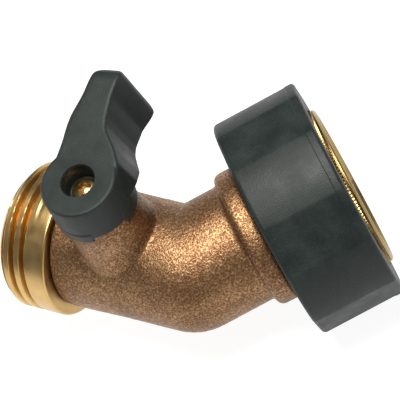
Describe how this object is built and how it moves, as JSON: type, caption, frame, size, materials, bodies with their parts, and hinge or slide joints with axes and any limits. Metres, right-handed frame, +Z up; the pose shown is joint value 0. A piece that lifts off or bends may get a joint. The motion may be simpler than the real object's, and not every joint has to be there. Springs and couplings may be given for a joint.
{
  "type": "angled hose shut-off connector",
  "caption": "Bent brass hose connector with a swivel inlet nut, a quarter-turn ball valve worked by a black lever, and a male hose-thread outlet.",
  "frame": {"origin": "centre of the inlet mouth, on the inlet axis in the plane of the nut insert's front rim", "axes": "+X points out of the inlet along its axis; +Z runs up the valve stem towards the lever; both water passages lie in the XY plane and the outlet points to -X +Y at 45 degrees"},
  "size_m": [0.0646, 0.0529, 0.0514],
  "materials": {
    "cast_body": "sand-cast, fine grain",
    "machined_brass": "turned, bright",
    "plated_ball": "polished",
    "black_plastic": "fine spark texture",
    "white_polymer": "waxy",
    "black_rubber": "moulded"
  },
  "bodies": {
    "body": {"body_casting": "cast_body", "outlet_nipple": "machined_brass", "swivel_tailpiece": "machined_brass", "seat_ring_inlet": "white_polymer", "seat_ring_outlet": "white_polymer", "stem_thrust_washer": "white_polymer"},
    "valve_lever": {"lever_handle": "black_plastic", "lever_screw": "machined_brass", "valve_stem": "machined_brass", "valve_ball": "plated_ball", "stem_o_ring_lower": "black_rubber", "stem_o_ring_upper": "black_rubber"},
    "swivel_nut": {"nut_grip": "black_plastic", "nut_insert": "machined_brass", "inlet_washer": "black_rubber"}
  },
  "joints": [
    {"name": "lever_turn", "type": "hinge", "parent": "body", "child": "valve_lever", "pos_m": [-0.04068, 0.00848, 0], "axis": [0, 0, -1], "range_deg": [0, 90]},
    {"name": "nut_swivel", "type": "hinge", "parent": "body", "child": "swivel_nut", "pos_m": [-0.0156, 0, 0], "axis": [1, 0, 0], "continuous": true}
  ]
}
